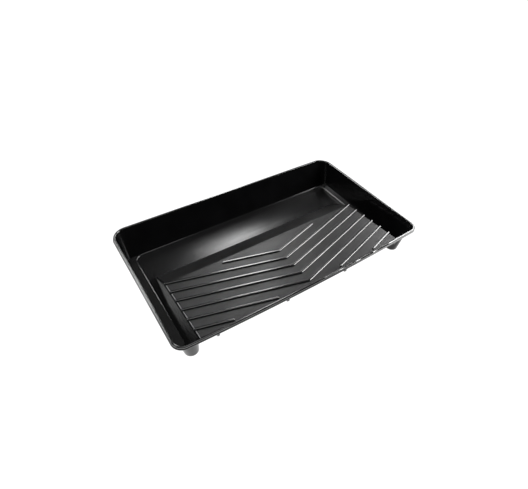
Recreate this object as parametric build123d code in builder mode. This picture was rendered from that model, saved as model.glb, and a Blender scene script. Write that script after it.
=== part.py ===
from build123d import *
import os

# A paint roller tray for wide rollers: a paint well at the back, a raised ramp with chevron ribs
# in front of it, and a deep gutter along each side of the ramp.
#
# Frame: X runs along the tray's long side, Y towards the well at the back, Z up.
# The origin is the middle of the tray's footprint, on the surface it stands on. Units are mm.

# Overall sizes
LENGTH = 530.0
WIDTH = 307.0
HEIGHT = 60.0
SKIN = 2.0  # thickness of the moulded wall

# Rim: a rounded bead with a turned-down skirt and a thin lip around its lower edge
RIM_WIDTH = 5.4
RIM_BASE = 57.5  # the walls end here, under the bead
SKIRT_BOTTOM = 54.6
SKIRT_THICKNESS = 1.4
LIP_REACH = 0.9
LIP_HEIGHT = 1.2
RIM_ROUND = 1.9
RIM_CORNER_BACK = 30.0
RIM_CORNER_FRONT = 20.0
FRONT_BOW = 5.5  # how far the middle of the front stands out beyond its corners

# Walls: they lean inwards on the way down to the step
STEP_HEIGHT = 8.0  # top face of the step at the foot of the walls
STEP_ROUND = 1.4  # along the step's inner edge
WALL_FOOT_SIDE = 250.0  # inner face of a side wall at the step, from the middle
WALL_FOOT_BACK = 119.0
WALL_FOOT_FRONT = 119.5
WALL_FOOT_CORNER = 6.0
CORNER_BACK_Y = 112.0  # the corner pieces of rim and walls start here
CORNER_FRONT_Y = -108.0

# Pan: the lowered area inside the step, made of the well and the two gutters
PAN_SIDE = 236.0
PAN_BACK = 117.0
PAN_CORNER = 15.0

# Well floor: flat at the crease under the ramp, then a shallow arc up to the back
FLOOR = 2.0  # top face of the flat stretch
CREASE_Y = 52.0
FLAT_END_Y = 66.0
FLOOR_BACK = 7.0

# Ramp: a sloping deck and a steep slope down into the well
RAMP_SIDE = 221.0
DECK_FRONT_HEIGHT = 41.4
DECK_BACK_Y = 5.0
DECK_BACK_HEIGHT = 31.1
DECK_BEND = 14.0  # radius between deck and slope
SHOULDER = 3.5  # radius along the ramp's sides
SHOULDER_DEPTH = 6.0
DECK_END_Y = 9.0  # the deck piece ends here, past the bend's middle

# Ribs: rows of straight arms that point to the front in the middle of the tray
RIB_WIDTH = 5.0
RIB_HEIGHT = 2.6
RIB_TOP_ROUND = 2.0
RIB_END_ROUND = 2.4
RIB_PITCH = 23.5
RIB_SLOPE = 0.2876  # how far an arm comes forward for each millimetre towards the middle
RIB_END_X = 221.8
RIB_FIRST_Y = 4.3  # row 1 at the ramp's side
RIB_SPANS = [(0.0, 109.0)] + 4 * [(0.0, RIB_END_X)] + [(69.5, RIB_END_X), (156.0, RIB_END_X)]

# Gutters and front feet: each gutter starts in the round hollow of a foot and drains to the well
GUTTER_FRONT_FLOOR = 4.5
FOOT_X = 231.6
FOOT_Y = -121.5
FOOT_RADIUS = 12.4  # where its sides meet the ground, before rounding
FOOT_FLARE = 5.3  # growth of the radius up to its top; the side by the ramp stays upright
FOOT_ROUND = 5.0
FOOT_TOP = 50.0  # above this a foot would be wholly inside the walls

# Gussets under the front rim
GUSSET_XS = (-195.0, -64.0, 64.0, 195.0)
GUSSET_THICKNESS = 4.0
GUSSET_NOSE_Y = -152.6
GUSSET_NOSE_HEIGHT = 48.5
GUSSET_BOTTOM = 44.5

HALF_LENGTH = LENGTH / 2
HALF_WIDTH = WIDTH / 2
REACH = 2 * LENGTH  # longer than anything in the tray
SIDES = {"left": -1, "right": 1}


def blend(top, foot, z):
    """A wall size at height z, between its value at the rim base and at the step."""
    share = (z - STEP_HEIGHT) / (RIM_BASE - STEP_HEIGHT)
    return foot + share * (top - foot)


def rounded_outline(side, front, back, corner_front, corner_back):
    """An outline about X = 0 with a bowed front and a radius each for front and back corners."""
    front_left = (-side, FRONT_BOW - front)
    front_right = (side, FRONT_BOW - front)
    with BuildSketch(mode=Mode.PRIVATE) as outline:
        with BuildLine():
            ThreePointArc(front_left, (0, -front), front_right)
            Polyline(front_right, (side, back), (-side, back), front_left)
        make_face()
        rows = outline.vertices().group_by(Axis.Y)
        fillet(rows[-1], radius=corner_back)
        rows = outline.vertices().group_by(Axis.Y)
        fillet(rows[0], radius=corner_front)
    return outline.sketch


def wall_outline(z, grow):
    """The outline inside the walls at height z, grown outwards."""
    return rounded_outline(
        blend(HALF_LENGTH - RIM_WIDTH, WALL_FOOT_SIDE, z) + grow,
        blend(HALF_WIDTH - RIM_WIDTH, WALL_FOOT_FRONT, z) + grow,
        blend(HALF_WIDTH - RIM_WIDTH, WALL_FOOT_BACK, z) + grow,
        blend(RIM_CORNER_FRONT - RIM_WIDTH, WALL_FOOT_CORNER, z) + grow,
        blend(RIM_CORNER_BACK - RIM_WIDTH, WALL_FOOT_CORNER, z) + grow,
    )


def rim_outline(inset):
    """The rim's outer outline, moved inwards."""
    return rounded_outline(
        HALF_LENGTH - inset,
        HALF_WIDTH - inset,
        HALF_WIDTH - inset,
        RIM_CORNER_FRONT - inset,
        RIM_CORNER_BACK - inset,
    )


def front_face_y(z):
    """The outer face of the front wall at height z, in the middle of the tray."""
    return -blend(HALF_WIDTH - RIM_WIDTH, WALL_FOOT_FRONT, z) - SKIN


def gutter_outline(sign, grow):
    """A gutter in plan, from the middle of its foot to the well."""
    with BuildSketch(mode=Mode.PRIVATE) as outline:
        with Locations((sign * (RAMP_SIDE + PAN_SIDE) / 2, (FOOT_Y + CREASE_Y) / 2)):
            Rectangle(PAN_SIDE - RAMP_SIDE + 2 * grow, CREASE_Y - FOOT_Y)
    return outline.sketch


def well_outline(grow):
    """The well in plan, from the crease to the back."""
    with BuildSketch(mode=Mode.PRIVATE) as outline:
        with Locations((0, (CREASE_Y + PAN_BACK + grow) / 2)):
            Rectangle(2 * (PAN_SIDE + grow), PAN_BACK + grow - CREASE_Y)
        fillet(outline.vertices().group_by(Axis.Y)[-1], radius=PAN_CORNER + grow)
    return outline.sketch


def beside_pan(edge):
    """Whether a top edge of the step faces the well or a gutter."""
    x, y = abs(edge.center().X), edge.center().Y
    return RAMP_SIDE + 1 < x < PAN_SIDE + 1 or CREASE_Y + 1 < y < PAN_BACK + 1


def block(x, y, z):
    """A block between pairs of limits, kept out of any part under construction."""
    with BuildPart(mode=Mode.PRIVATE) as piece:
        with BuildSketch(Plane.XY.offset(z[0])):
            with Locations(((x[0] + x[1]) / 2, (y[0] + y[1]) / 2)):
                Rectangle(x[1] - x[0], y[1] - y[0])
        extrude(amount=z[1] - z[0])
    return piece.part


def pick(source, x, y, z=(-HEIGHT, 2 * HEIGHT)):
    """The share of a shell that lies between the given limits."""
    with BuildPart(mode=Mode.PRIVATE) as piece:
        add(source)
        add(block(x, y, z), mode=Mode.INTERSECT)
    return piece.part


def write(name, piece):
    """Labels a finished piece and writes its file."""
    piece.label = name
    export_step(piece, f"parts/{name}.step")


def write_ring(name, ring):
    """Cuts a ring into its straight runs and its corners and writes them."""
    middle = (-RAMP_SIDE, RAMP_SIDE)
    write(f"{name}_back", pick(ring, middle, (CORNER_BACK_Y, REACH)))
    write(f"{name}_front", pick(ring, middle, (-REACH, CORNER_FRONT_Y)))
    for side, sign in SIDES.items():
        outer = sorted((sign * RAMP_SIDE, sign * REACH))
        write(f"{name}_{side}", pick(ring, outer, (CORNER_FRONT_Y, CORNER_BACK_Y)))
        write(f"{name}_corner_back_{side}", pick(ring, outer, (CORNER_BACK_Y, REACH)))
        write(f"{name}_corner_front_{side}", pick(ring, outer, (-REACH, CORNER_FRONT_Y)))


os.makedirs("parts", exist_ok=True)

# Rim: a closed ring with a rounded top, hollow behind its skirt
with BuildPart() as rim:
    with BuildSketch(Plane.XY.offset(SKIRT_BOTTOM)):
        add(rim_outline(LIP_REACH))
        add(rim_outline(RIM_WIDTH), mode=Mode.SUBTRACT)
    extrude(amount=HEIGHT - SKIRT_BOTTOM)
    fillet(rim.faces().sort_by(Axis.Z)[-1].edges(), radius=RIM_ROUND)
    with BuildSketch(Plane.XY.offset(SKIRT_BOTTOM)):
        add(rim_outline(0))
        add(rim_outline(LIP_REACH), mode=Mode.SUBTRACT)
    extrude(amount=LIP_HEIGHT)
    with BuildSketch(Plane.XY.offset(SKIRT_BOTTOM)):
        add(rim_outline(LIP_REACH + SKIRT_THICKNESS))
        add(rim_outline(RIM_WIDTH), mode=Mode.SUBTRACT)
    extrude(amount=RIM_BASE - SKIRT_BOTTOM, mode=Mode.SUBTRACT)
write_ring("rim", rim.part)

deck_slope = (DECK_FRONT_HEIGHT - DECK_BACK_HEIGHT) / (DECK_BACK_Y - front_face_y(DECK_FRONT_HEIGHT))
slope_slope = (DECK_BACK_HEIGHT - FLOOR) / (CREASE_Y - DECK_BACK_Y)


def ramp_block(inset):
    """The ramp as a block under its deck and slope, rounded along its top and moved inwards."""
    deck_drop = inset * (1 + deck_slope**2) ** 0.5
    slope_drop = inset * (1 + slope_slope**2) ** 0.5
    bend_y = DECK_BACK_Y + (deck_drop - slope_drop) / (slope_slope - deck_slope)
    bend_z = DECK_BACK_HEIGHT - deck_drop + deck_slope * (DECK_BACK_Y - bend_y)
    front_z = bend_z + deck_slope * (bend_y + HALF_WIDTH)
    with BuildPart(mode=Mode.PRIVATE) as ramp:
        with BuildSketch(Plane.YZ.offset(inset - RAMP_SIDE)):
            with BuildLine():
                Polyline(
                    (-HALF_WIDTH, -HEIGHT),
                    (-HALF_WIDTH, front_z),
                    (bend_y, bend_z),
                    (CREASE_Y, FLOOR - slope_drop),
                    (CREASE_Y, -HEIGHT),
                    close=True,
                )
            make_face()
        extrude(amount=2 * (RAMP_SIDE - inset))
        bend = ramp.edges().filter_by(Axis.X).sort_by_distance((0, bend_y, bend_z))[0]
        fillet(bend, radius=DECK_BEND - inset)
        shoulders = ramp.faces().filter_by(Axis.X).edges().filter_by(Axis.Z, reverse=True)
        fillet(shoulders.filter_by(lambda edge: edge.center().Z > 0), radius=SHOULDER - inset)
    return ramp.part


# The space within the outer faces of the walls, carried on down to the ground
with BuildPart() as envelope:
    for height in (0, RIM_BASE):
        with BuildSketch(Plane.XY.offset(height)):
            add(wall_outline(height, SKIN))
    loft(ruled=True)

# Ramp: its outer form, which stops at the outer face of the front wall
with BuildPart() as ramp_form:
    add(ramp_block(0))
    add(envelope.part, mode=Mode.INTERSECT)


def foot_block(sign, inset):
    """A foot as a leaning cone, rounded below and moved inwards."""
    with BuildPart(mode=Mode.PRIVATE) as foot:
        for height in (inset, FOOT_TOP):
            flare = FOOT_FLARE * height / FOOT_TOP
            with BuildSketch(Plane.XY.offset(height)):
                with Locations((sign * (FOOT_X + flare), FOOT_Y)):
                    Circle(FOOT_RADIUS + flare - inset)
        loft()
        fillet(foot.faces().sort_by(Axis.Z)[0].edges(), radius=FOOT_ROUND - inset)
    return foot.part


# Ramp skin: open below and in front, cut into the deck, the slope and the two side plates
with BuildPart() as ramp_skin:
    add(ramp_form.part)
    add(ramp_block(SKIN), mode=Mode.SUBTRACT)

with BuildPart() as below_shoulders:
    with BuildSketch(Plane.YZ.offset(-RAMP_SIDE)):
        with BuildLine():
            edge_front = DECK_BACK_HEIGHT + deck_slope * (DECK_BACK_Y + HALF_WIDTH)
            Polyline(
                (-HALF_WIDTH, -SHOULDER_DEPTH),
                (-HALF_WIDTH, edge_front - SHOULDER_DEPTH),
                (DECK_BACK_Y, DECK_BACK_HEIGHT - SHOULDER_DEPTH),
                (CREASE_Y, FLOOR - SHOULDER_DEPTH),
                close=True,
            )
        make_face()
    extrude(amount=2 * RAMP_SIDE)

# The room under the well floor and the gutters, where nothing reaches down
with BuildPart() as underside:
    with BuildSketch(Plane.YZ.offset(-LENGTH / 2)):
        with BuildLine():
            Polyline(
                (HALF_WIDTH, FLOOR_BACK - SKIN),
                (HALF_WIDTH, -SKIN),
                (FOOT_Y, -SKIN),
                (FOOT_Y, GUTTER_FRONT_FLOOR - SKIN),
                (CREASE_Y, 0),
                (FLAT_END_Y, 0),
            )
            TangentArc((FLAT_END_Y, 0), (PAN_BACK, FLOOR_BACK - SKIN), tangent=(1, 0))
            Line((PAN_BACK, FLOOR_BACK - SKIN), (HALF_WIDTH, FLOOR_BACK - SKIN))
        make_face()
    extrude(amount=LENGTH)

with BuildPart() as ramp_top:
    add(ramp_skin.part)
    add(below_shoulders.part, mode=Mode.SUBTRACT)
write("ramp_deck", pick(ramp_top.part, (-REACH, REACH), (-REACH, DECK_END_Y)))
write("ramp_slope", pick(ramp_top.part, (-REACH, REACH), (DECK_END_Y, REACH)))

# Feet: their outer forms
with BuildPart() as foot_forms:
    for sign in SIDES.values():
        add(foot_block(sign, 0))
    add(ramp_form.part, mode=Mode.SUBTRACT)

# Walls: the shell between the envelope and the cavity, open where ramp and feet pass
with BuildPart() as cavity:
    for height in (STEP_HEIGHT, RIM_BASE):
        with BuildSketch(Plane.XY.offset(height)):
            add(wall_outline(height, 0))
    loft(ruled=True)
with BuildPart() as walls:
    add(pick(envelope.part, (-REACH, REACH), (-REACH, REACH), (STEP_HEIGHT, RIM_BASE)))
    for form in (cavity.part, ramp_form.part, foot_forms.part):
        add(form, mode=Mode.SUBTRACT)
write_ring("wall", walls.part)

# Step: the narrow flat ledge at the foot of the walls
with BuildPart() as step:
    with BuildSketch(Plane.XY.offset(STEP_HEIGHT - SKIN)):
        add(wall_outline(STEP_HEIGHT, SKIN))
        add(well_outline(0), mode=Mode.SUBTRACT)
        for sign in SIDES.values():
            add(gutter_outline(sign, 0), mode=Mode.SUBTRACT)
    extrude(amount=SKIN)
    fillet(step.edges().group_by(Axis.Z)[-1].filter_by(beside_pan), radius=STEP_ROUND)
    for form in (ramp_form.part, foot_forms.part):
        add(form, mode=Mode.SUBTRACT)

# Curb: the short drop from the step down to the well floor and the gutters
with BuildPart() as curb:
    with BuildSketch():
        add(well_outline(SKIN))
        for sign in SIDES.values():
            add(gutter_outline(sign, SKIN))
        add(well_outline(0), mode=Mode.SUBTRACT)
        for sign in SIDES.values():
            add(gutter_outline(sign, 0), mode=Mode.SUBTRACT)
    extrude(amount=STEP_HEIGHT - SKIN)
    for form in (ramp_form.part, foot_forms.part, underside.part):
        add(form, mode=Mode.SUBTRACT)

step_corner_y = PAN_BACK - PAN_CORNER
step_corner_x = PAN_SIDE - PAN_CORNER
write("step_back", pick(step.part, (-step_corner_x, step_corner_x), (step_corner_y, REACH)))
for side, sign in SIDES.items():
    corner = sorted((sign * step_corner_x, sign * REACH))
    outer = sorted((sign * RAMP_SIDE, sign * REACH))
    write(f"step_{side}", pick(step.part, outer, (-REACH, step_corner_y)))
    write(f"step_corner_{side}", pick(step.part, corner, (step_corner_y, REACH)))
    write(f"curb_{side}", pick(curb.part, outer, (FOOT_Y, step_corner_y)))
    write(f"curb_corner_{side}", pick(curb.part, corner, (step_corner_y, REACH)))

# Well floor
with BuildPart() as well_floor:
    with BuildSketch(Plane.YZ.offset(-LENGTH / 2)):
        with BuildLine():
            Polyline((FLAT_END_Y, 0), (CREASE_Y, 0), (CREASE_Y, FLOOR), (FLAT_END_Y, FLOOR))
            TangentArc((FLAT_END_Y, FLOOR), (PAN_BACK, FLOOR_BACK), tangent=(1, 0))
            Line((PAN_BACK, FLOOR_BACK), (PAN_BACK, FLOOR_BACK - SKIN))
            TangentArc((FLAT_END_Y, 0), (PAN_BACK, FLOOR_BACK - SKIN), tangent=(1, 0))
        make_face()
    extrude(amount=LENGTH)
    with BuildSketch():
        add(well_outline(0))
    extrude(amount=STEP_HEIGHT, mode=Mode.INTERSECT)
write("well_floor", well_floor.part)

for side, sign in SIDES.items():
    outer = sorted((sign * REACH, 0))

    # Side plate of the ramp, between the shoulder above and the gutter below
    with BuildPart() as ramp_side:
        add(ramp_skin.part)
        for region in (block(outer, (-REACH, REACH), (-HEIGHT, HEIGHT)), below_shoulders.part):
            add(region, mode=Mode.INTERSECT)
        add(underside.part, mode=Mode.SUBTRACT)
    write(f"ramp_side_{side}", ramp_side.part)

    # Gutter floor, draining towards the well
    with BuildPart() as gutter_floor:
        with BuildSketch(Plane.YZ.offset(min(sign * RAMP_SIDE, sign * PAN_SIDE))):
            with BuildLine():
                Polyline(
                    (FOOT_Y, GUTTER_FRONT_FLOOR),
                    (CREASE_Y, FLOOR),
                    (CREASE_Y, FLOOR - SKIN),
                    (FOOT_Y, GUTTER_FRONT_FLOOR - SKIN),
                    close=True,
                )
            make_face()
        extrude(amount=PAN_SIDE - RAMP_SIDE)
        add(foot_forms.part, mode=Mode.SUBTRACT)
    write(f"gutter_floor_{side}", gutter_floor.part)

    # Front foot: a rounded cup set into the leaning front wall, open above and to its gutter
    with BuildPart() as foot_hollow:
        add(foot_block(sign, SKIN))
        with BuildSketch(Plane.XY.offset(GUTTER_FRONT_FLOOR)):
            add(gutter_outline(sign, 0))
        extrude(amount=STEP_HEIGHT - GUTTER_FRONT_FLOOR)
        add(cavity.part)
    with BuildPart() as foot:
        add(pick(foot_forms.part, outer, (-REACH, REACH)))
        add(foot_hollow.part, mode=Mode.SUBTRACT)
    write(f"foot_{side}", foot.part)

# Ribs: rounded ridges on the deck that run out over its shoulders
deck = Plane(
    origin=(0, DECK_BACK_Y, DECK_BACK_HEIGHT),
    x_dir=(1, 0, 0),
    z_dir=(0, deck_slope, 1),
)
along_deck = (1 + deck_slope**2) ** 0.5
half_rib = RIB_WIDTH / 2 * (1 + RIB_SLOPE**2) ** 0.5
for row, (start_x, end_x) in enumerate(RIB_SPANS):
    side_y = RIB_FIRST_Y + RIB_PITCH * (1 - row) - DECK_BACK_Y
    start_y = (side_y - RIB_SLOPE * (RIB_END_X - start_x)) * along_deck
    end_y = (side_y - RIB_SLOPE * (RIB_END_X - end_x)) * along_deck
    with BuildPart() as rib:
        with BuildSketch(deck.offset(-SHOULDER)) as arm:
            with BuildLine():
                Polyline(
                    (start_x, start_y - half_rib),
                    (end_x, end_y - half_rib),
                    (end_x, end_y + half_rib),
                    (start_x, start_y + half_rib),
                    close=True,
                )
            make_face()
            free_ends = arm.vertices().filter_by(lambda corner: corner.X > 1)
            fillet(free_ends, radius=RIB_END_ROUND)
        extrude(amount=SHOULDER + RIB_HEIGHT)
        crest = rib.faces().sort_by(Axis.Z)[-1].edges()
        fillet(crest.filter_by(lambda edge: edge.center().X > 1), radius=RIB_TOP_ROUND)
        add(ramp_form.part, mode=Mode.SUBTRACT)
    write(f"rib_{row}_right", rib.part)
    write(f"rib_{row}_left", mirror(rib.part, about=Plane.YZ))

# Gussets: short fins that stiffen the front rim from below
skirt_middle_y = LIP_REACH + SKIRT_THICKNESS / 2 - HALF_WIDTH
with BuildPart() as front_gussets:
    for gusset_x in GUSSET_XS:
        back_by = FRONT_BOW * (gusset_x / HALF_LENGTH) ** 2
        with BuildSketch(Plane.YZ.offset(gusset_x - GUSSET_THICKNESS / 2)):
            with BuildLine():
                Polyline(
                    (front_face_y(RIM_BASE) + back_by + SKIN, RIM_BASE),
                    (skirt_middle_y + back_by, RIM_BASE),
                    (skirt_middle_y + back_by, SKIRT_BOTTOM),
                    (GUSSET_NOSE_Y + back_by, SKIRT_BOTTOM),
                    (GUSSET_NOSE_Y + back_by, GUSSET_NOSE_HEIGHT),
                    (front_face_y(GUSSET_BOTTOM) + back_by, GUSSET_BOTTOM),
                    (front_face_y(GUSSET_BOTTOM) + back_by + SKIN, GUSSET_BOTTOM),
                    close=True,
                )
            make_face()
        extrude(amount=GUSSET_THICKNESS)
    add(envelope.part, mode=Mode.SUBTRACT)
    add(rim.part, mode=Mode.SUBTRACT)
write("front_gussets", front_gussets.part)
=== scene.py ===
import math

import bpy
from mathutils import Matrix, Vector


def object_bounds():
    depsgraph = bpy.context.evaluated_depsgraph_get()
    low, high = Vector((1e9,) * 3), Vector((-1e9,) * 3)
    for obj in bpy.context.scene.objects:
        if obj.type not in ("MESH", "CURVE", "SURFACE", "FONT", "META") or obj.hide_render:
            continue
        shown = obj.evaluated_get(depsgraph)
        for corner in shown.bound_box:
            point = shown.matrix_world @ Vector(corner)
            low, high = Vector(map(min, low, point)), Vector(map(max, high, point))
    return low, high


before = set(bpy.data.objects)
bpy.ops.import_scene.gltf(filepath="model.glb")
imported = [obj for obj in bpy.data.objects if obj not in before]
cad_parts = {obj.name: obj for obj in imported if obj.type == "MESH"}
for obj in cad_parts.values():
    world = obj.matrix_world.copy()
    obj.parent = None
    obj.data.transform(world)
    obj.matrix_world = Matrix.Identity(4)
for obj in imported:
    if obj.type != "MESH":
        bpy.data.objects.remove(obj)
cad_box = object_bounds()
low, high = cad_box
middle = (low + high) / 2
scene = bpy.context.scene

# ---------------------------------------------------------------------------------------------
# Node helpers
# ---------------------------------------------------------------------------------------------


def new_material(name):
    """A material that holds only a Principled shader, with its node tree and that shader."""
    material = bpy.data.materials.new(name)
    material.use_nodes = True
    return material, material.node_tree, material.node_tree.nodes["Principled BSDF"]


def add_noise(tree, size, detail=2.0, roughness=0.5, scaling=(1, 1, 1)):
    """Noise in the object's own space with features about size metres wide, wider where scaling < 1."""
    place = tree.nodes.new("ShaderNodeTexCoord")
    scale = tree.nodes.new("ShaderNodeMapping")
    scale.inputs["Scale"].default_value = scaling
    noise = tree.nodes.new("ShaderNodeTexNoise")
    noise.inputs["Scale"].default_value = 1 / size
    noise.inputs["Detail"].default_value = detail
    noise.inputs["Roughness"].default_value = roughness
    tree.links.new(place.outputs["Object"], scale.inputs["Vector"])
    tree.links.new(scale.outputs["Vector"], noise.inputs["Vector"])
    return noise.outputs["Fac"]


def spread(tree, value, low_value, high_value):
    """Maps a noise, which stays near 0.5, to a range of values."""
    map_range = tree.nodes.new("ShaderNodeMapRange")
    map_range.inputs["From Min"].default_value = 0.3
    map_range.inputs["From Max"].default_value = 0.7
    map_range.inputs["To Min"].default_value = low_value
    map_range.inputs["To Max"].default_value = high_value
    tree.links.new(value, map_range.inputs["Value"])
    return map_range.outputs["Result"]


def between(tree, value, first, second):
    """A colour that goes from the first to the second as a noise rises."""
    blend = tree.nodes.new("ShaderNodeValToRGB")
    for element, position, colour in zip(blend.color_ramp.elements, (0.35, 0.65), (first, second)):
        element.position = position
        element.color = (*colour, 1)
    tree.links.new(value, blend.inputs["Fac"])
    return blend.outputs["Color"]


def add_bump(tree, height, depth, normal=None):
    """Bumps of the given depth in metres, on top of another normal if there is one."""
    bump = tree.nodes.new("ShaderNodeBump")
    bump.inputs["Strength"].default_value = 1.0
    bump.inputs["Distance"].default_value = depth
    tree.links.new(height, bump.inputs["Height"])
    if normal is not None:
        tree.links.new(normal, bump.inputs["Normal"])
    return bump.outputs["Normal"]


# ---------------------------------------------------------------------------------------------
# Finishes of the one black moulding: polished edges, smooth walls, a satin well, a grained ramp
# ---------------------------------------------------------------------------------------------

CLOUD_SIZE = 0.045
SMEAR_SIZE = 0.03
WAVE_SIZE = 0.07
WAVE_DEPTH = 0.0003
DARK = ((0.0025, 0.0025, 0.0027), (0.004, 0.004, 0.0043))
GREYER = ((0.006, 0.006, 0.0062), (0.010, 0.010, 0.0103))
# Grains: size and depth in metres
POLISHED = (0.0015, 0.00001)
SILKY = (0.0012, 0.00002)
ROUGHENED = (0.0012, 0.00014)
# The ramp's rounded shoulders, in metres to either side of the middle, and their roughness
SHOULDER_START = 0.2172
SHOULDER_END = 0.2192
SHOULDER_GLOSS = 0.14


def moulded_plastic(name, tones, gloss, grain, ior, level):
    """Black plastic: uneven tone and gloss, a fine grain, and the faint waves of a moulding.

    Tones are two colours, gloss is two roughnesses, and level is the specular level.
    """
    material, tree, shader = new_material(name)
    grain_size, grain_depth = grain
    cloud = add_noise(tree, size=CLOUD_SIZE, detail=3.0)
    smear = add_noise(tree, size=SMEAR_SIZE, scaling=(0.4, 1, 1))
    grit = add_noise(tree, size=grain_size, detail=3.0, roughness=0.6)
    waves = add_noise(tree, size=WAVE_SIZE, detail=1.0)
    tree.links.new(between(tree, cloud, *tones), shader.inputs["Base Color"])
    tree.links.new(spread(tree, smear, *gloss), shader.inputs["Roughness"])
    wavy = add_bump(tree, waves, WAVE_DEPTH)
    tree.links.new(add_bump(tree, grit, grain_depth, wavy), shader.inputs["Normal"])
    shader.inputs["IOR"].default_value = ior
    shader.inputs["Specular IOR Level"].default_value = level
    return material


def polish_sides(material, start, end, gloss):
    """Makes a material glossier between start and end metres to either side of the middle."""
    tree = material.node_tree
    roughness = tree.nodes["Principled BSDF"].inputs["Roughness"]
    place = tree.nodes.new("ShaderNodeTexCoord")
    axes = tree.nodes.new("ShaderNodeSeparateXYZ")
    outward = tree.nodes.new("ShaderNodeMath")
    outward.operation = "ABSOLUTE"
    polish = tree.nodes.new("ShaderNodeMapRange")
    polish.inputs["From Min"].default_value = start
    polish.inputs["From Max"].default_value = end
    polish.inputs["To Max"].default_value = gloss
    tree.links.new(place.outputs["Object"], axes.inputs["Vector"])
    tree.links.new(axes.outputs["X"], outward.inputs[0])
    tree.links.new(outward.outputs["Value"], polish.inputs["Value"])
    tree.links.new(roughness.links[0].from_socket, polish.inputs["To Min"])
    tree.links.new(polish.outputs["Result"], roughness)


edge = moulded_plastic("black_plastic_edge", DARK, (0.12, 0.18), POLISHED, ior=1.7, level=0.9)
smooth = moulded_plastic("black_plastic_smooth", DARK, (0.11, 0.16), POLISHED, ior=1.45, level=0.45)
satin = moulded_plastic("black_plastic_satin", DARK, (0.2, 0.25), SILKY, ior=1.49, level=0.5)
grained = moulded_plastic("black_plastic_grained", GREYER, (0.34, 0.42), ROUGHENED, ior=1.49, level=0.5)
polish_sides(grained, SHOULDER_START, SHOULDER_END, SHOULDER_GLOSS)

# By the first word of a node's name; every other node is smooth
FINISHES = {"rim": edge, "rib": edge, "step": edge, "ramp": grained, "well": satin}
for name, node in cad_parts.items():
    node.data.materials.clear()
    node.data.materials.append(FINISHES.get(name.split("_")[0], smooth))

# ---------------------------------------------------------------------------------------------
# Floor
# ---------------------------------------------------------------------------------------------

FLOOR_WIDTH = 14
FLOOR_MOTTLE = 0.3
FLOOR_TONES = ((0.86, 0.86, 0.86), (0.88, 0.88, 0.88))
FLOOR_GAP = 0.0002  # below the tray, so that no two faces share a plane

bpy.ops.mesh.primitive_plane_add(size=FLOOR_WIDTH, location=(middle.x, middle.y, low.z - FLOOR_GAP))
floor = bpy.context.object
floor.name = "floor"
paper, paper_tree, paper_shader = new_material("pale_floor")
mottle = add_noise(paper_tree, size=FLOOR_MOTTLE, detail=3.0)
paper_tone = between(paper_tree, mottle, *FLOOR_TONES)
paper_tree.links.new(paper_tone, paper_shader.inputs["Base Color"])
paper_shader.inputs["Roughness"].default_value = 0.9
paper_shader.inputs["Specular IOR Level"].default_value = 0.1
floor.data.materials.append(paper)

# ---------------------------------------------------------------------------------------------
# Camera: above the front left corner, looking down across the ramp
# ---------------------------------------------------------------------------------------------

CAMERA_PLACE = Vector((-0.3416, -0.4542, 0.5719))
CAMERA_AIM = Vector((-0.0114, 0.0005, 0.03))
CAMERA_ROLL = math.radians(3.38)
LENS = 26.76
SENSOR_WIDTH = 36
SHIFT_X = 0.0005
SHIFT_Y = -0.0021

camera = bpy.data.objects.new("camera", bpy.data.cameras.new("camera"))
scene.collection.objects.link(camera)
turn = (CAMERA_AIM - CAMERA_PLACE).to_track_quat("-Z", "Y").to_matrix()
camera.matrix_world = Matrix.Translation(CAMERA_PLACE) @ (
    turn @ Matrix.Rotation(CAMERA_ROLL, 3, "Z")
).to_4x4()
camera.data.sensor_width = SENSOR_WIDTH
camera.data.lens = LENS
camera.data.shift_x = SHIFT_X
camera.data.shift_y = SHIFT_Y
camera.data.clip_start = 0.01
scene.camera = camera

# ---------------------------------------------------------------------------------------------
# Light: soft boxes around the tray for its highlights, an even one for the floor, and a dim room
# ---------------------------------------------------------------------------------------------

# For each soft box: degrees round from the back towards the right, degrees up, metres wide, watts
SOFT_BOXES = {
    "trough_light": (27, 41, 0.4, 6.5),
    "back_light": (30, 28, 0.6, 3.2),
    "right_back_light": (70, 30, 0.7, 12),
    "right_light": (110, 35, 0.8, 32),
    "left_back_light": (-36, 40, 0.8, 19),
    "left_light": (-90, 30, 0.8, 7),
    "top_light": (0, 88, 0.9, 4.5),
}
LIGHT_DISTANCE = 2.1
FLOOR_LIGHT = 4.0  # watts on a square metre


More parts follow.
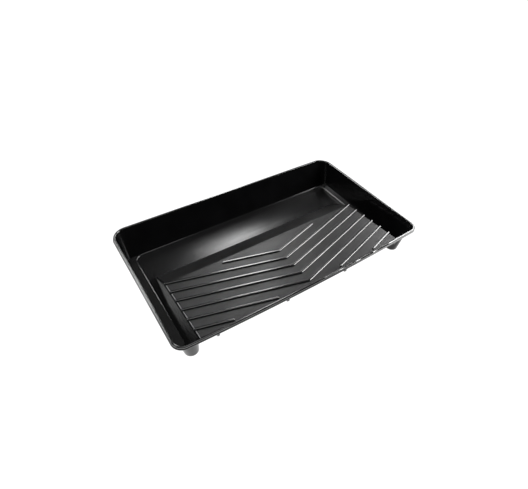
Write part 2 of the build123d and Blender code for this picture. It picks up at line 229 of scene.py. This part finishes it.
def add_light(name, kind, energy, lit_objects):
    """A light for only the given objects, which no other object shades."""
    data = bpy.data.lights.new(name, kind)
    data.energy = energy
    light = bpy.data.objects.new(name, data)
    scene.collection.objects.link(light)
    lit = bpy.data.collections.new(name + "_objects")
    for lit_object in lit_objects:
        lit.objects.link(lit_object)
    light.light_linking.receiver_collection = lit
    light.light_linking.blocker_collection = lit
    return light


for name, (round_angle, up_angle, width, power) in SOFT_BOXES.items():
    light = add_light(name, "AREA", power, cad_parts.values())
    round_turn = Matrix.Rotation(math.radians(-round_angle), 3, "Z")
    up_turn = Matrix.Rotation(math.radians(up_angle), 3, "X")
    offset = round_turn @ up_turn @ Vector((0, LIGHT_DISTANCE, 0))
    light.data.size = width
    light.location = middle + offset
    light.rotation_euler = (-offset).to_track_quat("-Z", "Y").to_euler()

add_light("floor_light", "SUN", FLOOR_LIGHT, [floor])

LEVEL_GREY = 0.015
ZENITH_GREY = 0.12

room = bpy.data.worlds.new("room")
scene.world = room
room.use_nodes = True
sky = room.node_tree
direction = sky.nodes.new("ShaderNodeTexCoord")
split = sky.nodes.new("ShaderNodeSeparateXYZ")
shade = sky.nodes.new("ShaderNodeValToRGB")
for element, height, grey in zip(shade.color_ramp.elements, (0.5, 1.0), (LEVEL_GREY, ZENITH_GREY)):
    element.position = height
    element.color = (grey, grey, grey, 1)
lit = sky.nodes["Background"]
sky.links.new(direction.outputs["Generated"], split.inputs["Vector"])
sky.links.new(split.outputs["Z"], shade.inputs["Fac"])
sky.links.new(shade.outputs["Color"], lit.inputs["Color"])

# The camera sees a white backdrop instead of the dim room that lights the tray
backdrop = sky.nodes.new("ShaderNodeBackground")
backdrop.inputs["Color"].default_value = (1, 1, 1, 1)
light_path = sky.nodes.new("ShaderNodeLightPath")
choose = sky.nodes.new("ShaderNodeMixShader")
sky.links.new(light_path.outputs["Is Camera Ray"], choose.inputs["Fac"])
sky.links.new(lit.outputs["Background"], choose.inputs[1])
sky.links.new(backdrop.outputs["Background"], choose.inputs[2])
sky.links.new(choose.outputs["Shader"], sky.nodes["World Output"].inputs["Surface"])

scene.view_settings.view_transform = "Standard"
scene.view_settings.exposure = 0.0
